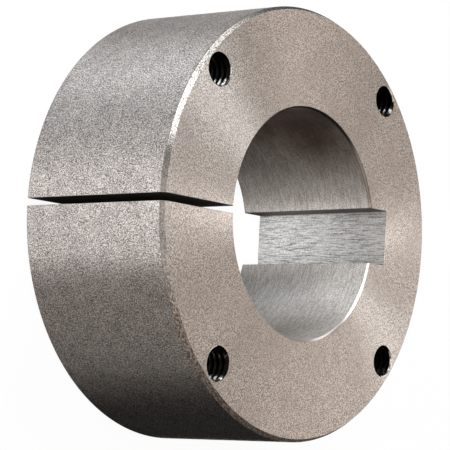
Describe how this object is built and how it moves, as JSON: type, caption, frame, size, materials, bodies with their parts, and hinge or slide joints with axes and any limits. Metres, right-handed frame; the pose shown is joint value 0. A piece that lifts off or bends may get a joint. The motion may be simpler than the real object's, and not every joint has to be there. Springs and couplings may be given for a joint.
{
  "type": "quick disconnect bushing",
  "caption": "Split ring with a tapered outside that clamps a shaft in a hub: round bore with a keyway, saw cut through the wall, tapped holes in one end face.",
  "frame": {"origin": "centre of the bore on the plain end face, which the part rests on", "axes": "+Z along the bore, out of the tapped face; +X from the bore's axis toward the keyway, with the saw cut at -X"},
  "size_m": [0.0976, 0.0976, 0.0375],
  "materials": {
    "steel": "fine blasted grain on the outside and end faces, turned bore, broached keyway, bright chamfers"
  },
  "bodies": {
    "root": {"bushing": "steel"}
  },
  "joints": []
}
